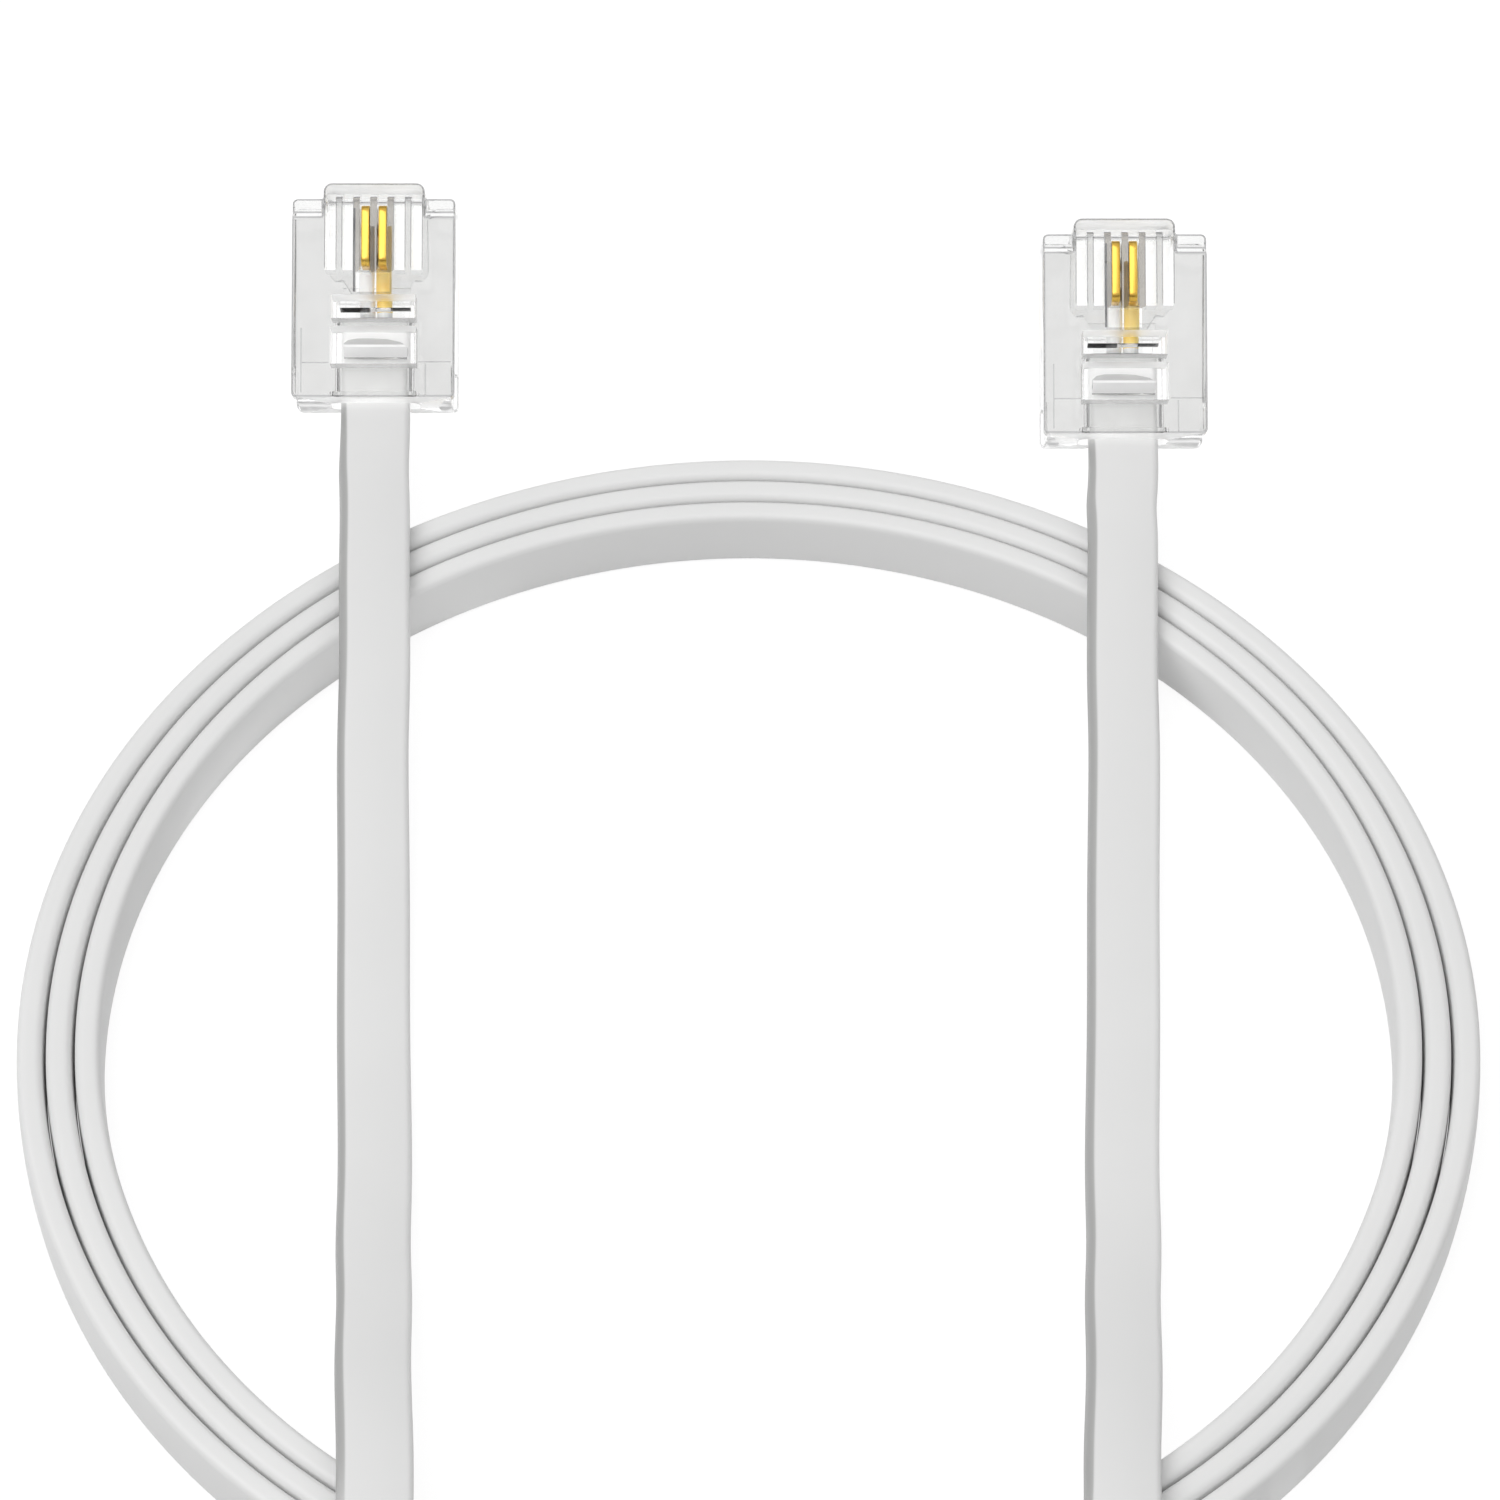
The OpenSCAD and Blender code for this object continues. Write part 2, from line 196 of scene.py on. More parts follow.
path, cord_length = route()
print("cord length, mm:", round(cord_length, 1), "rings:", len(path))


def cord_section(w, t, r, crown, corner=8, face=6):
    """Outline of the flat cord: round edges, and faces that are a little crowned."""
    a, b = w / 2, t / 2
    out = []
    for cx, cy, start in ((a - r, b - r, 0), (-a + r, b - r, 90), (-a + r, -b + r, 180), (a - r, -b + r, 270)):
        for i in range(corner + 1):
            g = math.radians(start + 90 * i / corner)
            out.append((cx + r * math.cos(g), cy + r * math.sin(g)))
        if start in (0, 180):
            s = 1 if start == 0 else -1
            for i in range(1, face):
                x = (a - r) * (1 - 2 * i / face)
                out.append((s * x, s * (b + crown * (1 - (x / (a - r)) ** 2))))
    return out


def smooth_mesh(me, angle=35):
    me.shade_smooth()
    me.set_sharp_from_angle(angle=math.radians(angle))


def new_object(name, me):
    o = bpy.data.objects.new(name, me)
    scene.collection.objects.link(o)
    return o


def swept_cord(name, path):
    section = cord_section(CORD_W, CORD_T - 0.19, 0.46, 0.08)
    k = len(section)
    bm = bmesh.new()
    uv = bm.loops.layers.uv.new("along")
    rings, dist = [], 0.0
    pts = path[:, :3]
    n = len(pts)
    at = []
    for i in range(n):
        h = Vector(pts[min(i + 1, n - 1)] - pts[max(i - 1, 0)]).normalized()
        side = h.cross(Vector((0, 0, 1))).normalized()
        up = side.cross(h)
        roll = math.radians(path[i, 3])
        w = side * math.cos(roll) + up * math.sin(roll)
        m = w.cross(h)
        centre = Vector(pts[i])
        rings.append([bm.verts.new((centre + w * x + m * y) * MM) for x, y in section])
        if i:
            dist += float(np.linalg.norm(pts[i] - pts[i - 1]))
        at.append(dist)
    for i in range(n - 1):
        for j in range(k):
            j2 = (j + 1) % k
            f = bm.faces.new((rings[i][j], rings[i][j2], rings[i + 1][j2], rings[i + 1][j]))
            for loop, (u, v) in zip(f.loops, ((at[i], j), (at[i], j + 1), (at[i + 1], j + 1), (at[i + 1], j))):
                loop[uv].uv = (u * MM, v / k)
    bm.faces.new(list(reversed(rings[0])))
    bm.faces.new(rings[-1])
    bmesh.ops.recalc_face_normals(bm, faces=bm.faces)
    me = bpy.data.meshes.new(name)
    bm.to_mesh(me)
    bm.free()
    # 1 at each cut end, falling to 0 at 10 mm from it
    near = [max(0.0, 1 - min(d, dist - d) / 10) for d in at for _ in range(k)]
    me.attributes.new("end", "FLOAT", "POINT").data.foreach_set("value", near)
    # painted shade on the edge of each free end that is turned away from the light: 1 on its outer side, 0 elsewhere
    edge = []
    for i, d in enumerate(at):
        left = 1 if d < dist / 2 else -1
        rest = min(d, dist - d)
        free = smooth_step((rest - 4.4) / 1.5) * (1 - smooth_step((rest - 78) / 12))
        edge += [free * smooth_step((left * x - CORD_W / 2 + 0.40) / 0.14) for x, y in section]
    me.attributes.new("painted_edge_shade", "FLOAT", "POINT").data.foreach_set("value", edge)
    smooth_mesh(me, 50)
    return new_object(name, me)


cord = swept_cord("cord", path)

# ---------------------------------------------------------------- materials
def nodes_of(name):
    mat = bpy.data.materials.new(name)
    mat.use_nodes = True
    nt = mat.node_tree
    bsdf = nt.nodes["Principled BSDF"]
    return mat, nt, bsdf


def add(nt, kind, **values):
    n = nt.nodes.new(kind)
    for key, v in values.items():
        setattr(n, key, v)
    return n


def noise(nt, scale, detail=3.0, rough=0.5, stretch=(1, 1, 1)):
    tc = add(nt, "ShaderNodeTexCoord")
    mp = add(nt, "ShaderNodeMapping")
    mp.inputs["Scale"].default_value = stretch
    nz = add(nt, "ShaderNodeTexNoise")
    nz.inputs["Scale"].default_value = scale
    nz.inputs["Detail"].default_value = detail
    nz.inputs["Roughness"].default_value = rough
    nt.links.new(tc.outputs["Object"], mp.inputs["Vector"])
    nt.links.new(mp.outputs["Vector"], nz.inputs["Vector"])
    return nz


def ramp(nt, source, stops):
    r = add(nt, "ShaderNodeValToRGB")
    el = r.color_ramp.elements
    while len(el) < len(stops):
        el.new(0.5)
    for e, (p, c) in zip(el, stops):
        e.position = p
        e.color = (*c, 1)
    nt.links.new(source, r.inputs["Fac"])
    return r


def value_range(nt, source, a, b):
    m = add(nt, "ShaderNodeMapRange")
    m.inputs["To Min"].default_value = a
    m.inputs["To Max"].default_value = b
    nt.links.new(source, m.inputs["Value"])
    return m


def bump(nt, bsdf, source, strength, distance):
    b = add(nt, "ShaderNodeBump")
    b.inputs["Strength"].default_value = strength
    b.inputs["Distance"].default_value = distance
    nt.links.new(source, b.inputs["Height"])
    nt.links.new(b.outputs["Normal"], bsdf.inputs["Normal"])
    return b


def cord_material():
    mat, nt, bsdf = nodes_of("pvc_jacket")
    broad = noise(nt, 45, 4, 0.55)
    tint = ramp(nt, broad.outputs["Fac"], [(0.3, (0.800, 0.801, 0.798)), (0.7, (0.832, 0.832, 0.829))])
    # painted light and shadow: the jacket is painted whiter inside each plug, and near-black in a thin line at its cut
    # end as a painted shadow
    ends = add(nt, "ShaderNodeAttribute", attribute_name="end")
    painted_light_inside = ramp(nt, ends.outputs["Fac"], [(0.42, (0, 0, 0)), (0.56, (1, 1, 1))])
    inner = add(nt, "ShaderNodeMix", data_type="RGBA")
    inner.inputs[7].default_value = (0.96, 0.96, 0.955, 1)
    nt.links.new(painted_light_inside.outputs["Color"], inner.inputs[0])
    nt.links.new(tint.outputs["Color"], inner.inputs[6])
    # painted shadow line at each cut end
    cut = ramp(nt, ends.outputs["Fac"], [(0.973, (0, 0, 0)), (0.981, (1, 1, 1))])
    edge = add(nt, "ShaderNodeMix", data_type="RGBA")
    edge.inputs[7].default_value = (0.03, 0.03, 0.032, 1)
    nt.links.new(cut.outputs["Color"], edge.inputs[0])
    nt.links.new(inner.outputs[2], edge.inputs[6])
    # painted shade: the outer edge of each free leg is darkened towards dark grey
    painted_edge_shade = add(nt, "ShaderNodeAttribute", attribute_name="painted_edge_shade")
    painted_edge_shade_amount = value_range(nt, painted_edge_shade.outputs["Fac"], 0.0, 0.62)
    painted_edge_shade_mix = add(nt, "ShaderNodeMix", data_type="RGBA")
    painted_edge_shade_mix.inputs[7].default_value = (0.20, 0.20, 0.195, 1)
    nt.links.new(painted_edge_shade_amount.outputs["Result"], painted_edge_shade_mix.inputs[0])
    nt.links.new(edge.outputs[2], painted_edge_shade_mix.inputs[6])
    nt.links.new(painted_edge_shade_mix.outputs[2], bsdf.inputs["Base Color"])
    patch = noise(nt, 380, 3, 0.6)
    nt.links.new(value_range(nt, patch.outputs["Fac"], 0.36, 0.50).outputs["Result"], bsdf.inputs["Roughness"])
    fine = noise(nt, 2600, 4, 0.6)
    bump(nt, bsdf, fine.outputs["Fac"], 0.10, 0.00004)
    bsdf.inputs["IOR"].default_value = 1.5
    bsdf.inputs["Specular IOR Level"].default_value = 0.42
    bsdf.inputs["Subsurface Weight"].default_value = 0.12
    bsdf.inputs["Subsurface Radius"].default_value = (0.0010, 0.0010, 0.0010)
    bsdf.inputs["Subsurface Scale"].default_value = 0.6
    return mat


def gold_material():
    mat, nt, bsdf = nodes_of("gold_plating")
    n = noise(nt, 1800, 3, 0.5, (1, 0.15, 0.15))
    tint = ramp(nt, n.outputs["Fac"], [(0.25, (0.78, 0.47, 0.075)), (0.75, (0.90, 0.60, 0.13))])
    nt.links.new(tint.outputs["Color"], bsdf.inputs["Base Color"])
    bsdf.inputs["Metallic"].default_value = 1.0
    nt.links.new(value_range(nt, n.outputs["Fac"], 0.18, 0.34).outputs["Result"], bsdf.inputs["Roughness"])
    bump(nt, bsdf, n.outputs["Fac"], 0.12, 0.00002)
    return mat


def copper_material():
    mat, nt, bsdf = nodes_of("copper_tinsel")
    n = noise(nt, 3000, 3, 0.6)
    tint = ramp(nt, n.outputs["Fac"], [(0.3, (0.62, 0.30, 0.16)), (0.7, (0.85, 0.47, 0.27))])
    nt.links.new(tint.outputs["Color"], bsdf.inputs["Base Color"])
    bsdf.inputs["Metallic"].default_value = 1.0
    nt.links.new(value_range(nt, n.outputs["Fac"], 0.25, 0.42).outputs["Result"], bsdf.inputs["Roughness"])
    bump(nt, bsdf, n.outputs["Fac"], 0.3, 0.00003)
    return mat


def insulation_material(name, dark, light):
    mat, nt, bsdf = nodes_of(name)
    n = noise(nt, 900, 3, 0.5)
    tint = ramp(nt, n.outputs["Fac"], [(0.3, dark), (0.7, light)])
    ends = add(nt, "ShaderNodeAttribute", attribute_name="end")      # whitened over its last 0.4 mm, at the jacket end
    pale = ramp(nt, ends.outputs["Fac"], [(0.90, (0, 0, 0)), (0.97, (1, 1, 1))])
    whole = add(nt, "ShaderNodeMix", data_type="RGBA")
    whole.inputs[7].default_value = (0.95, 0.95, 0.945, 1)
    nt.links.new(pale.outputs["Color"], whole.inputs[0])
    nt.links.new(tint.outputs["Color"], whole.inputs[6])
    nt.links.new(whole.outputs[2], bsdf.inputs["Base Color"])
    nt.links.new(value_range(nt, n.outputs["Fac"], 0.28, 0.42).outputs["Result"], bsdf.inputs["Roughness"])
    bump(nt, bsdf, n.outputs["Fac"], 0.08, 0.00003)
    bsdf.inputs["Subsurface Weight"].default_value = 0.15
    bsdf.inputs["Subsurface Radius"].default_value = (0.0006, 0.0005, 0.0004)
    return mat


def clear_material(name, tint=(0.94, 0.942, 0.94), rough=0.03):
    """Clear moulded plastic. Shadow rays pass it, as light really reaches what is inside."""
    mat, nt, bsdf = nodes_of(name)
    bsdf.inputs["Transmission Weight"].default_value = 1.0
    bsdf.inputs["IOR"].default_value = 1.49
    n = noise(nt, 520, 3, 0.5)
    colour = ramp(nt, n.outputs["Fac"], [(0.3, tint), (0.75, tuple(min(1, c + 0.05) for c in tint))])
    nt.links.new(colour.outputs["Color"], bsdf.inputs["Base Color"])
    nt.links.new(value_range(nt, n.outputs["Fac"], rough * 0.6, rough * 1.6).outputs["Result"], bsdf.inputs["Roughness"])
    bump(nt, bsdf, n.outputs["Fac"], 0.05, 0.00004)
    out = nt.nodes["Material Output"]
    clear = add(nt, "ShaderNodeBsdfTransparent")
    clear.inputs["Color"].default_value = (1, 1, 1, 1)
    path_node = add(nt, "ShaderNodeLightPath")
    mix = add(nt, "ShaderNodeMixShader")
    nt.links.new(path_node.outputs["Is Shadow Ray"], mix.inputs["Fac"])
    nt.links.new(bsdf.outputs["BSDF"], mix.inputs[1])
    nt.links.new(clear.outputs["BSDF"], mix.inputs[2])
    nt.links.new(mix.outputs["Shader"], out.inputs["Surface"])
    return mat


def bar_material(name, value, clear):
    """Milky plastic for a bar's faces, in lighter and darker copies that are painted light and shade."""
    mat, nt, bsdf = nodes_of(name)
    n = noise(nt, 700, 3, 0.5)
    tint = ramp(nt, n.outputs["Fac"], [(0.3, (value * 0.97,) * 3), (0.7, (min(1, value * 1.03),) * 3)])
    nt.links.new(tint.outputs["Color"], bsdf.inputs["Base Color"])
    nt.links.new(value_range(nt, n.outputs["Fac"], 0.16, 0.30).outputs["Result"], bsdf.inputs["Roughness"])
    bump(nt, bsdf, n.outputs["Fac"], 0.06, 0.00003)
    bsdf.inputs["Transmission Weight"].default_value = clear
    return mat


def metal_side():
    """The side of a contact blade: bare stamped metal, painted darker as the shade in its slot."""
    mat, nt, bsdf = nodes_of("blade_side_and_slot_shade")
    n = noise(nt, 2200, 3, 0.5)
    tint = ramp(nt, n.outputs["Fac"], [(0.3, (0.24, 0.19, 0.11)), (0.7, (0.36, 0.29, 0.18))])
    nt.links.new(tint.outputs["Color"], bsdf.inputs["Base Color"])
    nt.links.new(value_range(nt, n.outputs["Fac"], 0.35, 0.5).outputs["Result"], bsdf.inputs["Roughness"])
    bump(nt, bsdf, n.outputs["Fac"], 0.1, 0.00002)
    bsdf.inputs["Metallic"].default_value = 0.8
    return mat


MAT = {
    "cord": cord_material(),
    "gold": gold_material(),
    "copper": copper_material(),
    "wire_white": insulation_material("insulation_white", (0.90, 0.90, 0.885), (0.98, 0.98, 0.965)),
    "wire_yellow": insulation_material("insulation_yellow", (0.99, 0.63, 0.10), (1.0, 0.75, 0.19)),
    "clear_shell": clear_material("clear_shell"),
    "clear_latch": clear_material("clear_latch"),
    "clear_bar": clear_material("clear_bar", rough=0.05),
}
# finishes for some faces of a moulded piece, most of them painted light and shade: its frosted contact face with a
# grey tint that is painted shade, a paler painted tint on the step, dark tints that are painted shade outlines on its
# edges, grooves and slot rims, a painted reflection of the contacts on the walls between the slots, a satin finish
# that is only rougher, lit and shaded copies for the bars, and blade sides darkened as painted shade
FACE = {
    "frosted_and_painted_shade": clear_material("clear_frosted", (0.42, 0.42, 0.415), 0.07),
    "edge": clear_material("clear_edge", (0.26, 0.26, 0.264), 0.05),
    "rim": clear_material("clear_rim", (0.12, 0.12, 0.122), 0.05),
    "dark_edge": clear_material("clear_dark_edge", (0.004, 0.004, 0.006), 0.05),
    "satin": clear_material("clear_satin", (0.97, 0.97, 0.968), 0.45),
    "pale": clear_material("clear_pale", (0.74, 0.742, 0.738), 0.06),
    "shaded": clear_material("clear_shaded", (0.165, 0.150, 0.130), 0.06),
    "bar_front_painted_shade": bar_material("bar_front_painted_shade", 0.70, 0.1),
    "bar_back_painted_light": bar_material("bar_back_painted_light", 0.95, 0.1),
    "bar_top_painted_light": bar_material("bar_top_painted_light", 0.95, 0.0),
    "bar_painted_shadow": bar_material("bar_painted_shadow", 0.03, 0.0),
    "blade_side_and_slot_shade": metal_side(),
}


def dress(o, slot_name, body="root"):
    o.data.materials.clear()
    o.data.materials.append(MAT[slot_name])
    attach(o, body)
    return o


# ---------------------------------------------------------------- solids for the plugs, in the plug's frame, mm
def solid(name, verts, faces):
    me = bpy.data.meshes.new(name)
    me.from_pydata([tuple(v) for v in verts], [], faces)
    me.update()
    bm = bmesh.new()
    bm.from_mesh(me)
    bmesh.ops.recalc_face_normals(bm, faces=bm.faces)
    bm.to_mesh(me)
    bm.free()
    return new_object(name, me)


def block(x0, x1, y0, y1, z0, z1):
    v = [(x, y, z) for z in (z0, z1) for y in (y0, y1) for x in (x0, x1)]
    f = [(0, 2, 3, 1), (4, 5, 7, 6), (0, 1, 5, 4), (2, 6, 7, 3), (0, 4, 6, 2), (1, 3, 7, 5)]
    return solid("tmp", v, f)


def prism(outline, axis, a, b):
    """outline is 2-D: (y, z) for axis x, (x, z) for axis y, (x, y) for axis z."""
    def put(p, q):
        return {"x": (q, p[0], p[1]), "y": (p[0], q, p[1]), "z": (p[0], p[1], q)}[axis]
    n = len(outline)
    v = [put(p, a) for p in outline] + [put(p, b) for p in outline]
    f = [tuple(range(n - 1, -1, -1)), tuple(range(n, 2 * n))]
    f += [(i, (i + 1) % n, n + (i + 1) % n, n + i) for i in range(n)]
    return solid("tmp", v, f)


def disc(cx, cy, r, n=28, start=0.0, sweep=360.0):
    full = abs(sweep - 360) < 1e-6
    steps = n if full else n + 1
    return [(cx + r * math.cos(math.radians(start + sweep * i / n)), cy + r * math.sin(math.radians(start + sweep * i / n))) for i in range(steps)]


def rounded(x0, x1, y0, y1, r, n=5, corners=(1, 1, 1, 1)):
    """Rectangle with round corners: lower left, lower right, upper right, upper left."""
    out = []
    spec = ((x0, y0, 180, corners[0]), (x1, y0, 270, corners[1]), (x1, y1, 0, corners[2]), (x0, y1, 90, corners[3]))
    for x, y, start, on in spec:
        if not on:
            out.append((x, y))
            continue
        cx = x + r if x == x0 else x - r
        cy = y + r if y == y0 else y - r
        out += disc(cx, cy, r, n, start, 90)
    return out


def final_mesh(o):
    dg = bpy.context.evaluated_depsgraph_get()
    me = bpy.data.meshes.new_from_object(o.evaluated_get(dg))
    o.modifiers.clear()
    o.data = me
    return o


def combine(target, others, op):
    for other in others:
        m = target.modifiers.new("b", "BOOLEAN")
        m.operation = op
        m.solver = "EXACT"
        m.object = other
        bpy.context.view_layer.update()
        final_mesh(target)
        bpy.data.objects.remove(other)
    return target


def soften(o, width, segments=2, angle=30, leave=None):
    """Rounds every edge a little, as a moulded piece has, but for those whose middle passes the test leave."""
    bm = bmesh.new()
    bm.from_mesh(o.data)
    bmesh.ops.remove_doubles(bm, verts=bm.verts, dist=0.004)
    bmesh.ops.dissolve_limit(bm, angle_limit=math.radians(0.6), verts=bm.verts, edges=bm.edges)
    bmesh.ops.recalc_face_normals(bm, faces=bm.faces)
    weight = bm.edges.layers.float.new("bevel_weight_edge")
    for e in bm.edges:
        sharp = len(e.link_faces) == 2 and e.calc_face_angle(0) > math.radians(angle)
        e[weight] = 1.0 if sharp and not (leave and leave((e.verts[0].co + e.verts[1].co) / 2)) else 0.0
    bm.to_mesh(o.data)
    bm.free()
    m = o.modifiers.new("bevel", "BEVEL")
    m.width = width
    m.segments = segments
    m.limit_method = "WEIGHT"
    m.use_clamp_overlap = True
    m.miter_outer = "MITER_ARC"
    bpy.context.view_layer.update()
    final_mesh(o)
    return o


def finish_piece(o, name, matrix, slot_name, body, nodes, angle=40):
    o.name = name
    o.data.name = name
    bm = bmesh.new()
    bm.from_mesh(o.data)
    bmesh.ops.remove_doubles(bm, verts=bm.verts, dist=1e-5)
    bmesh.ops.dissolve_degenerate(bm, edges=bm.edges, dist=1e-5)
    bmesh.ops.triangulate(bm, faces=[f for f in bm.faces if len(f.verts) > 4])
    bmesh.ops.recalc_face_normals(bm, faces=bm.faces)
    bm.to_mesh(o.data)
    bm.free()
    o.data.transform(matrix)
    smooth_mesh(o.data, angle)
    dress(o, slot_name, body)
    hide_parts(*nodes)
    return o


def paint(o, matrix, rules):
    """Gives faces another finish: rules are (finish, test), where test takes a face's centre and normal in the plug's frame, mm."""
    back = matrix.inverted()
    turn = back.to_3x3().normalized()
    first = {}
    first["clear"] = 0
    for finish, _ in rules:
        if finish not in first:
            o.data.materials.append(FACE[finish])
            first[finish] = len(o.data.materials) - 1
    for f in o.data.polygons:
        c, n = back @ f.center, (turn @ f.normal).normalized()
        for finish, test in rules:
            if test(c, n):
                f.material_index = first[finish]
                break
    return o


def slanted(n):
    return max(abs(n.x), abs(n.y), abs(n.z)) < 0.975


def build_housing(k):
    low = BODY_H - 0.5
    body = prism([(0, 0), (BODY_L, 0), (BODY_L, low), (11.13, low), (10.75, BODY_H), (0, BODY_H)], "x", -BODY_W / 2, BODY_W / 2)
    combine(body, [prism(rounded(-BODY_W / 2, BODY_W / 2, 0, BODY_L, 0.32, 4), "z", -1, 8)], "INTERSECT")
    combine(body, [
        block(-3, 3, SLOT_Y - 0.1, BODY_L, 0.5, BODY_H),
        prism(rounded(-3, 3, 10.4, 12.9, 0.5, 5, (0, 0, 1, 1)), "z", 0, low),
        prism(rounded(-3, 3, HINGE_Y, 12.9, 0.5, 5, (0, 0, 1, 1)), "z", -1.35, 0.3),
    ], "UNION")
    soften(body, 0.13, 3, 30, lambda p: p.z < 0.35 and p.y > 11.98)
    cuts = []
    for i in range(6):
        c = (i - 2.5) * PITCH
        cuts.append(block(c - SLOT_W / 2, c + SLOT_W / 2, SLOT_Y, 12.2, 4.3, 7.5))
    cuts += [
        prism(rounded(-2.35, 2.35, WIRE_Z - 1.05, WIRE_Z + 1.05, 0.5, 4), "y", -1, 6.2),
        prism(rounded(-2.65, 2.65, WIRE_Z - 1.3, WIRE_Z + 1.3, 0.6, 4), "y", -1, 0.6),
        block(-2.55, 2.55, 2, 4.26, WIRE_Z + 0.8, 8),
        block(-2.5, 2.5, 4.72, 6.14, WIRE_Z + 0.8, 8),
        prism(disc(HINGE_Y, HINGE_Z, TIP_R + 0.06, 28), "x", -4, 4),
        block(-2, 2, -1, 7.2, -1, 0.45),
    ]
    for s in (-1, 1):
        a, b = sorted((s * (BODY_W / 2 - 0.25), s * (BODY_W / 2 + 1)))
        cuts.append(block(a, b, -1, 1.95, 1.2, 5.4))
    combine(body, cuts, "DIFFERENCE")
    soften(body, 0.06, 2, 35, lambda p: p.z < 6.4 or p.y > 11.75 or p.y < 1.9 or abs(p.x) > 2.95)
    top = BODY_H
    rims = [(i - 2.5) * PITCH + s * SLOT_W / 2 for i in (0, 1, 4, 5) for s in (-1, 1)]      # edges of the empty slots
    combine(body, [
        block(-1.0, 0.98, 6.28, 7.44, top - 0.06, top + 1),        # smooth pad over the wires
        block(-1.2, -1.07, 6.3, 11.3, top - 0.05, top + 1),        # groove beside the white wire
        block(-4.28, -4.2, 0.3, 4.1, top - 0.12, top + 1),         # mould lines near the rear end
        block(-4.24, -2.62, 2.02, 2.09, top - 0.1, top + 1),
        block(2.66, 4.6, 2.06, 2.13, top - 0.1, top + 1),
        block(3.06, 3.15, 0.14, 1.98, top - 0.16, top + 1),
    ] + [block(x - 0.055, x + 0.055, SLOT_Y + 0.15, 11.7, top - 0.05, top + 1) for x in rims], "DIFFERENCE")
    matrix = plug_matrix(k)
    finish_piece(body, f"plug_{k}_shell", matrix, "clear_shell", "root", [f"plug_{k}_housing"], 30)
    return paint(body, matrix, [
        # painted shadow: the groove beside the white wire has a near-black floor
        ("dark_edge", lambda c, n: -1.21 < c.x < -1.06 and 6.2 < c.y < 11.4 and top - 0.06 < c.z < top - 0.01),
        # painted shade: dark outlines along the rims of the empty slots
        ("rim", lambda c, n: n.z > 0.9 and top - 0.06 < c.z < top - 0.01 and c.y > SLOT_Y and min(abs(c.x - x) for x in rims) < 0.06),
        ("shaded", lambda c, n: n.z > 0.3 and -1.25 < c.x < 1.25 and SLOT_Y - 0.05 < c.y < 12 and c.z > 6.3),
        ("clear", lambda c, n: n.y > 0.7 and n.z > 0.5 and 10.8 < c.y < 11.08 and c.z > 6.15),
        ("satin", lambda c, n: abs(n.z) < 0.5 and abs(c.x) < 3.2 and (c.y < SLOT_Y - 0.05 or c.y > 12.5 or c.z < 4.2)),
        ("clear", lambda c, n: c.z < 6.2 and slanted(n) and c.y < 0.9 and abs(c.x) < 3.4),
        # painted shade: dark outlines on the bevels, darker between the rear windows and the nose
        ("rim", lambda c, n: c.z > 3.6 and slanted(n) and abs(c.x) < 2.95 and 1.9 < c.y < 12.3),
        ("edge", lambda c, n: c.z > 3.6 and slanted(n)),
        # painted shade on the floors of the mould lines
        ("edge", lambda c, n: top - 0.17 < c.z < top - 0.01 and not (-1.3 < c.x < 1.1 and c.y > 6) and (c.y < 4.4)),
        # painted shade: a grey tint on the top faces, which are also a little rougher
        ("frosted_and_painted_shade", lambda c, n: n.z > 0.9 and c.z > 6.5 and not (-1.01 < c.x < 1 and 6.27 < c.y < 7.45 and c.z < top - 0.03)),
        # painted light: a paler grey on the step tops
        ("pale", lambda c, n: n.z > 0.9 and 5.9 < c.z < 6.2 and not (abs(c.x) < 3.01 and c.y > 12)),
    ])


def build_latch(k):
    L, w, f = LATCH_L, 5.9 / 2, 3.25 / 2
    arm = prism([(-w, 0), (-w, -3.9), (-w + 0.35, -4.3), (-f - 0.5, -4.3), (-f, -5.1), (-f, -L), (f, -L), (f, -5.1),
                 (f + 0.5, -4.3), (w - 0.35, -4.3), (w, -3.9), (w, 0)], "z", -TIP_R, TIP_R)
    combine(arm, [prism(disc(0, 0, TIP_R - 0.002, 28), "x", -w, w), prism(disc(-L, 0, TIP_R - 0.002, 28), "x", -f, f)]
            + [prism(disc(y, -TIP_R + 0.02, 0.18, 14), "x", -f + 0.3, f - 0.3) for y in (-9.6, -8.6, -7.6)], "UNION")
    soften(arm, 0.07, 2, 40)
    m = plug_matrix(k) @ Matrix.Translation((0, HINGE_Y, HINGE_Z)) @ Matrix.Rotation(math.radians(LATCH_DEG), 4, "X")
    return finish_piece(arm, f"plug_{k}_latch_arm", m, "clear_latch", f"latch_{k}", [f"plug_{k}_latch"], 35)


def build_contact(k, i, s):
    t = 0.5
    top = disc(8.45, 5.65, 0.5, 8, 180, -90) + disc(11.1, 5.65, 0.5, 8, 90, -90)
    outline = top + [(11.6, 4.35), (10.85, 4.35), (10.8, 3.2), (10.45, 2.5), (10.1, 3.2), (10.05, 4.35),
                     (9.05, 4.35), (9, 3.2), (8.65, 2.5), (8.3, 3.2), (8.25, 4.35), (7.95, 4.35)]
    blade = prism(outline, "x", s * WIRE_X - t / 2, s * WIRE_X + t / 2)
    soften(blade, 0.06, 3, 35)
    finish_piece(blade, f"plug_{k}_blade_{i}", plug_matrix(k), "gold", "root", [f"plug_{k}_contact_{i}"], 35)
    # painted shade: the blade's sides darker, as in the shade of the slot
    return paint(blade, plug_matrix(k), [("blade_side_and_slot_shade", lambda c, n: abs(n.x) > 0.9)])


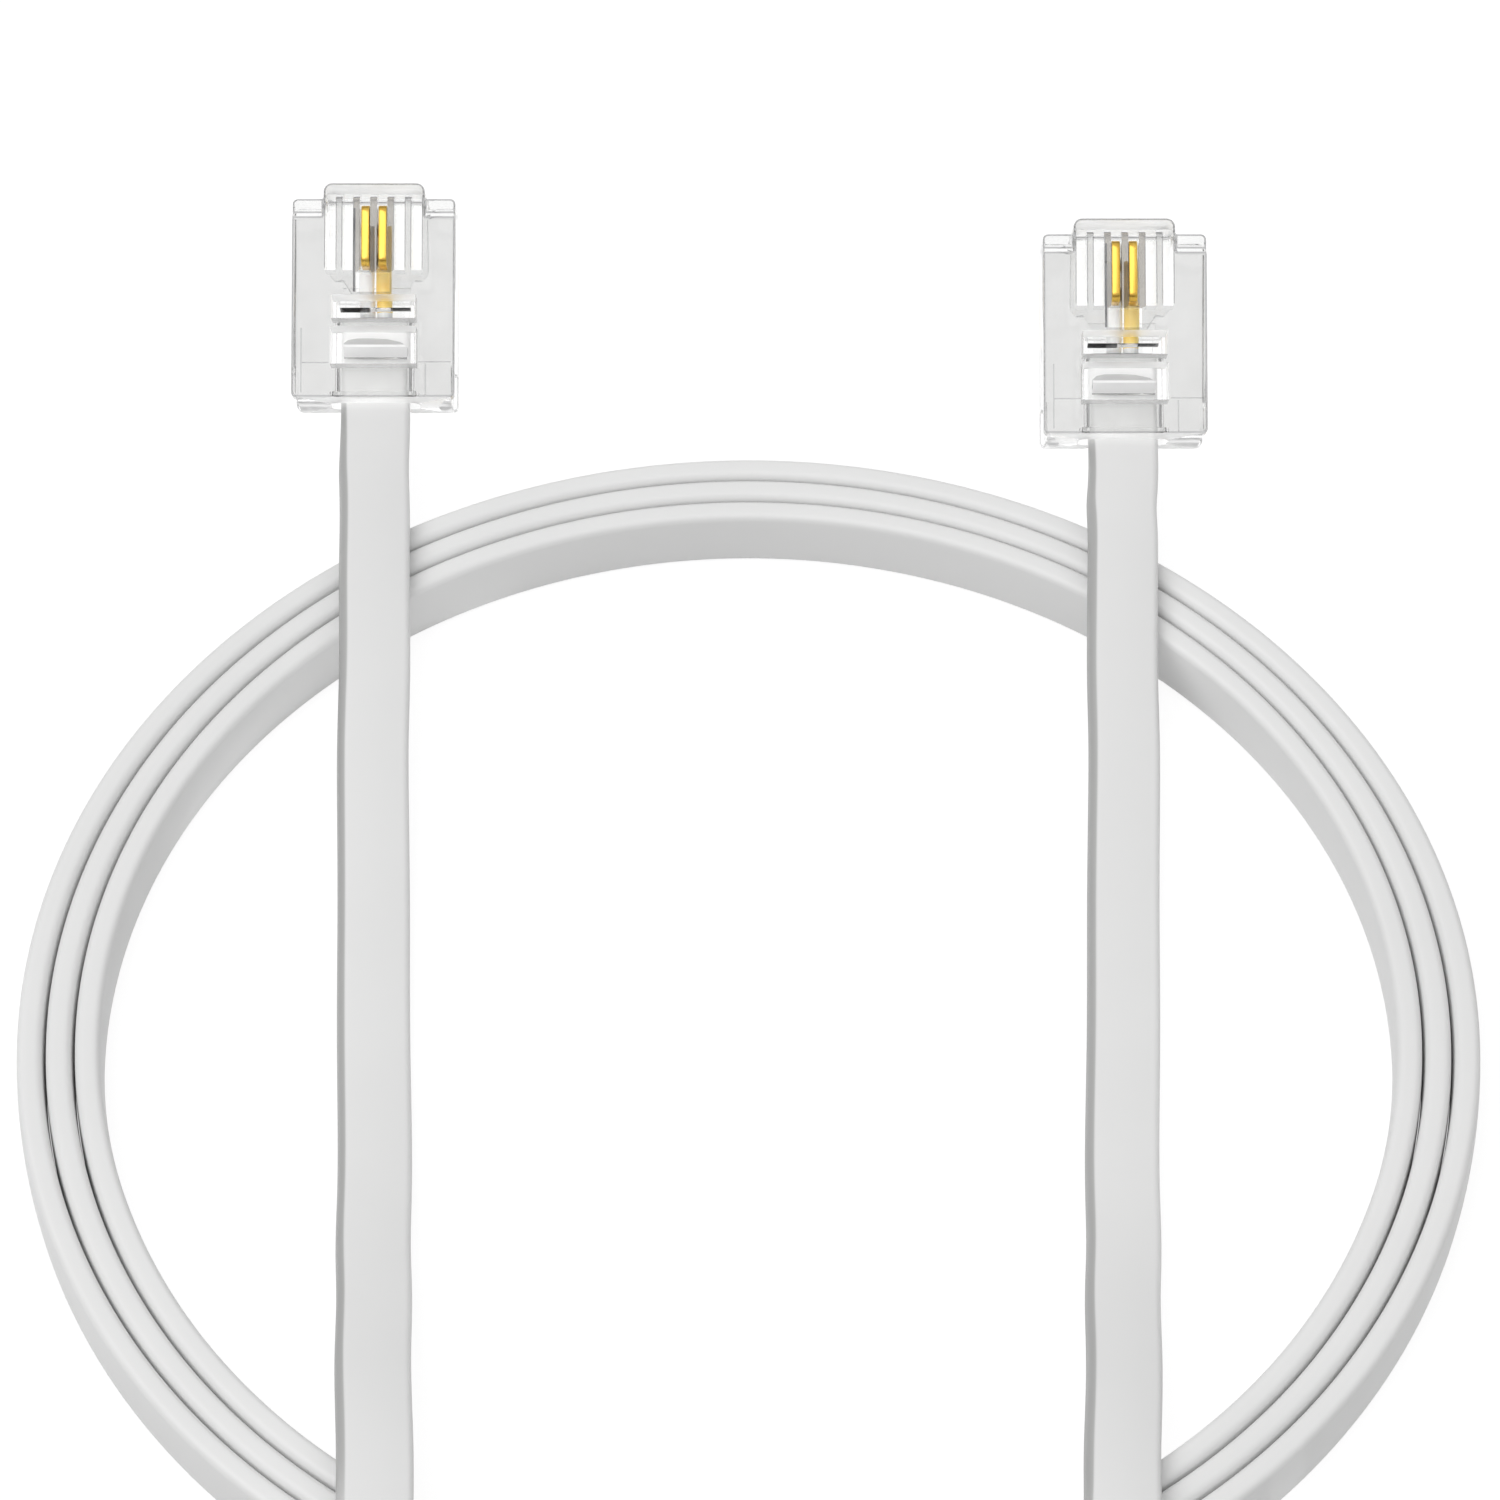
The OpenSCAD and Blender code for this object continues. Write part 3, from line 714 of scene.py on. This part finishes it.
def build_wire(k, colour, s):
    """Insulation with its cut end, hollow for the tinsel core."""
    n, steps = 24, 20
    bm = bmesh.new()
    rings = []
    profile = [(JACKET_L, 0.40), (JACKET_L + 0.05, 0.46)]
    profile += [(JACKET_L + 0.1 + (5.25) * j / steps, 0.46) for j in range(steps + 1)]
    profile += [(10.6, 0.42), (10.6, 0.22)]
    for y, r in profile:
        rings.append([bm.verts.new((s * WIRE_X + r * math.cos(2 * math.pi * j / n), y, WIRE_Z + r * math.sin(2 * math.pi * j / n))) for j in range(n)])
    rings.append([bm.verts.new((s * WIRE_X + 0.22 * math.cos(2 * math.pi * j / n), JACKET_L, WIRE_Z + 0.22 * math.sin(2 * math.pi * j / n))) for j in range(n)])
    for a, b in zip(rings, rings[1:] + rings[:1]):
        for j in range(n):
            bm.faces.new((a[j], a[(j + 1) % n], b[(j + 1) % n], b[j]))
    me = bpy.data.meshes.new("wire")
    bm.to_mesh(me)
    bm.free()
    ends = me.attributes.new("end", "FLOAT", "POINT")
    for v in me.vertices:
        ends.data[v.index].value = 1.0 if v.co.y < 5.6 else 0.0
    o = new_object("wire", me)
    return finish_piece(o, f"plug_{k}_insulation_{colour}", plug_matrix(k), f"wire_{colour}", "root", [f"plug_{k}_wire_{colour}"], 50)


def build_core(k, colour, s):
    """Seven strands of tinsel, twisted."""
    bm = bmesh.new()
    n, steps, r = 8, 30, 0.07
    for strand in range(7):
        rings = []
        for i in range(steps + 1):
            y = JACKET_L + (10.6 - JACKET_L) * i / steps
            turn = 2 * math.pi * i / steps * 1.5 + strand * math.pi / 3
            q = 0 if strand == 6 else 0.142
            cx, cz = s * WIRE_X + q * math.cos(turn), WIRE_Z + q * math.sin(turn)
            rings.append([bm.verts.new((cx + r * math.cos(2 * math.pi * j / n), y, cz + r * math.sin(2 * math.pi * j / n))) for j in range(n)])
        for a, b in zip(rings, rings[1:]):
            for j in range(n):
                bm.faces.new((a[j], a[(j + 1) % n], b[(j + 1) % n], b[j]))
        bm.faces.new(list(reversed(rings[0])))
        bm.faces.new(rings[-1])
    me = bpy.data.meshes.new("core")
    bm.to_mesh(me)
    bm.free()
    o = new_object("core", me)
    return finish_piece(o, f"plug_{k}_tinsel_{colour}", plug_matrix(k), "copper", "root", [f"plug_{k}_core_{colour}"], 50)


def build_jacket_bar(k):
    """The wedge that was pressed onto the jacket, with its two sloping faces."""
    z = WIRE_Z + CORD_T / 2
    bar = prism([(2.7, z), (3.95, z), (3.92, z + 0.35), (3.42, z + 1.05), (3.28, z + 1.05), (2.74, z + 0.45)], "x", -1.95, 1.95)
    plan = [(-1.85, 2.6), (1.88, 2.6), (1.95, 3.3), (1.5, 3.62), (0.7, 3.84), (-0.2, 3.9), (-1.1, 3.88), (-1.6, 3.76), (-1.85, 3.5)]
    combine(bar, [prism(plan, "z", z - 1, z + 2)], "INTERSECT")
    soften(bar, 0.04, 2, 25)
    matrix = plug_matrix(k)
    finish_piece(bar, f"plug_{k}_strain_bar", matrix, "clear_bar", "root", [f"plug_{k}_jacket_bar"], 30)
    # painted light and shade: the bar's front slope darker, its back slope and top lighter and whiter
    return paint(bar, matrix, [
        ("bar_front_painted_shade", lambda c, n: n.y > 0.35 and n.z > 0.2),
        ("bar_back_painted_light", lambda c, n: n.y < -0.35 and n.z > 0.2),
        ("bar_top_painted_light", lambda c, n: n.z > 0.5),
    ])


def build_wire_bar(k):
    """The bar pressed onto the two wires. Its rear slope is painted near-black as a painted shadow line, except beside
    the yellow wire.
    """
    z = WIRE_Z + 0.46

    def length(x0, x1, y):
        return prism([(y, z), (6.12, z), (6.12, z + 0.75), (5.98, z + 0.85), (5.72, z + 0.85), (y, z + 0.12)], "x", x0, x1)
    bar = length(-2.1, -0.35, 5.56)
    combine(bar, [length(-0.35, 0.92, 5.60), length(0.92, 2.1, 5.63)], "UNION")
    matrix = plug_matrix(k)
    finish_piece(bar, f"plug_{k}_crimp_bar", matrix, "clear_bar", "root", [f"plug_{k}_wire_bar"], 30)
    # painted shadow: the rear slope near-black, but for the length beside the yellow wire
    return paint(bar, matrix, [("bar_painted_shadow", lambda c, n: n.y < -0.5 and n.z > 0.05 and not -0.35 < c.x < 0.92)])


for k in "ab":
    made = [build_housing(k), build_latch(k), build_contact(k, 1, -1), build_contact(k, 2, 1)]
    for colour, s in (("white", -1), ("yellow", 1)):
        made += [build_wire(k, colour, s), build_core(k, colour, s)]
    made += [build_jacket_bar(k), build_wire_bar(k)]

dress(cord, "cord")
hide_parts("leg_a", "coil", "leg_b", "plug_a_jacket_end", "plug_b_jacket_end")

# ---------------------------------------------------------------- floor and light
def stage_floor():
    me = bpy.data.meshes.new("floor")
    s = 1.6
    me.from_pydata([(-s, -s, -0.00002), (s, -s, -0.00002), (s, s, -0.00002), (-s, s, -0.00002)], [], [(0, 1, 2, 3)])
    o = new_object("floor", me)
    mat, nt, bsdf = nodes_of("floor_white")
    bsdf.inputs["Base Color"].default_value = (0.22, 0.22, 0.22, 1)
    bsdf.inputs["Roughness"].default_value = 0.9
    bsdf.inputs["Specular IOR Level"].default_value = 0.1
    bsdf.inputs["Emission Color"].default_value = (1, 1, 1, 1)
    bsdf.inputs["Emission Strength"].default_value = 0.86
    dim = add(nt, "ShaderNodeBsdfDiffuse")
    dim.inputs["Color"].default_value = (0.62, 0.62, 0.62, 1)
    which = add(nt, "ShaderNodeLightPath")
    mix = add(nt, "ShaderNodeMixShader")
    nt.links.new(which.outputs["Is Diffuse Ray"], mix.inputs["Fac"])
    nt.links.new(bsdf.outputs["BSDF"], mix.inputs[1])
    nt.links.new(dim.outputs["BSDF"], mix.inputs[2])
    nt.links.new(mix.outputs["Shader"], nt.nodes["Material Output"].inputs["Surface"])
    o.data.materials.append(mat)


def area(name, loc, size, power, target=(0, -0.03, 0)):
    d = bpy.data.lights.new(name, "AREA")
    d.shape = "RECTANGLE"
    d.size, d.size_y = size
    d.energy = power
    o = bpy.data.objects.new(name, d)
    scene.collection.objects.link(o)
    o.location = loc
    o.rotation_euler = (Vector(target) - Vector(loc)).to_track_quat("-Z", "Y").to_euler()
    return o


def studio_world():
    """Bright overhead and dimmer towards the horizon."""
    world = bpy.data.worlds.new("studio")
    scene.world = world
    world.use_nodes = True
    nt = world.node_tree
    bg = nt.nodes["Background"]
    tc = add(nt, "ShaderNodeTexCoord")
    sep = add(nt, "ShaderNodeSeparateXYZ")
    nt.links.new(tc.outputs["Generated"], sep.inputs["Vector"])
    r = ramp(nt, sep.outputs["Z"], [(0.0, (0.05, 0.05, 0.05)), (0.28, (0.25, 0.25, 0.25)), (0.65, (1.0, 1.0, 1.0))])
    nt.links.new(r.outputs["Color"], bg.inputs["Color"])
    bg.inputs["Strength"].default_value = 0.72


stage_floor()
studio_world()
area("overhead", (-0.30, -0.22, 0.74), (0.8, 0.8), 3.4)
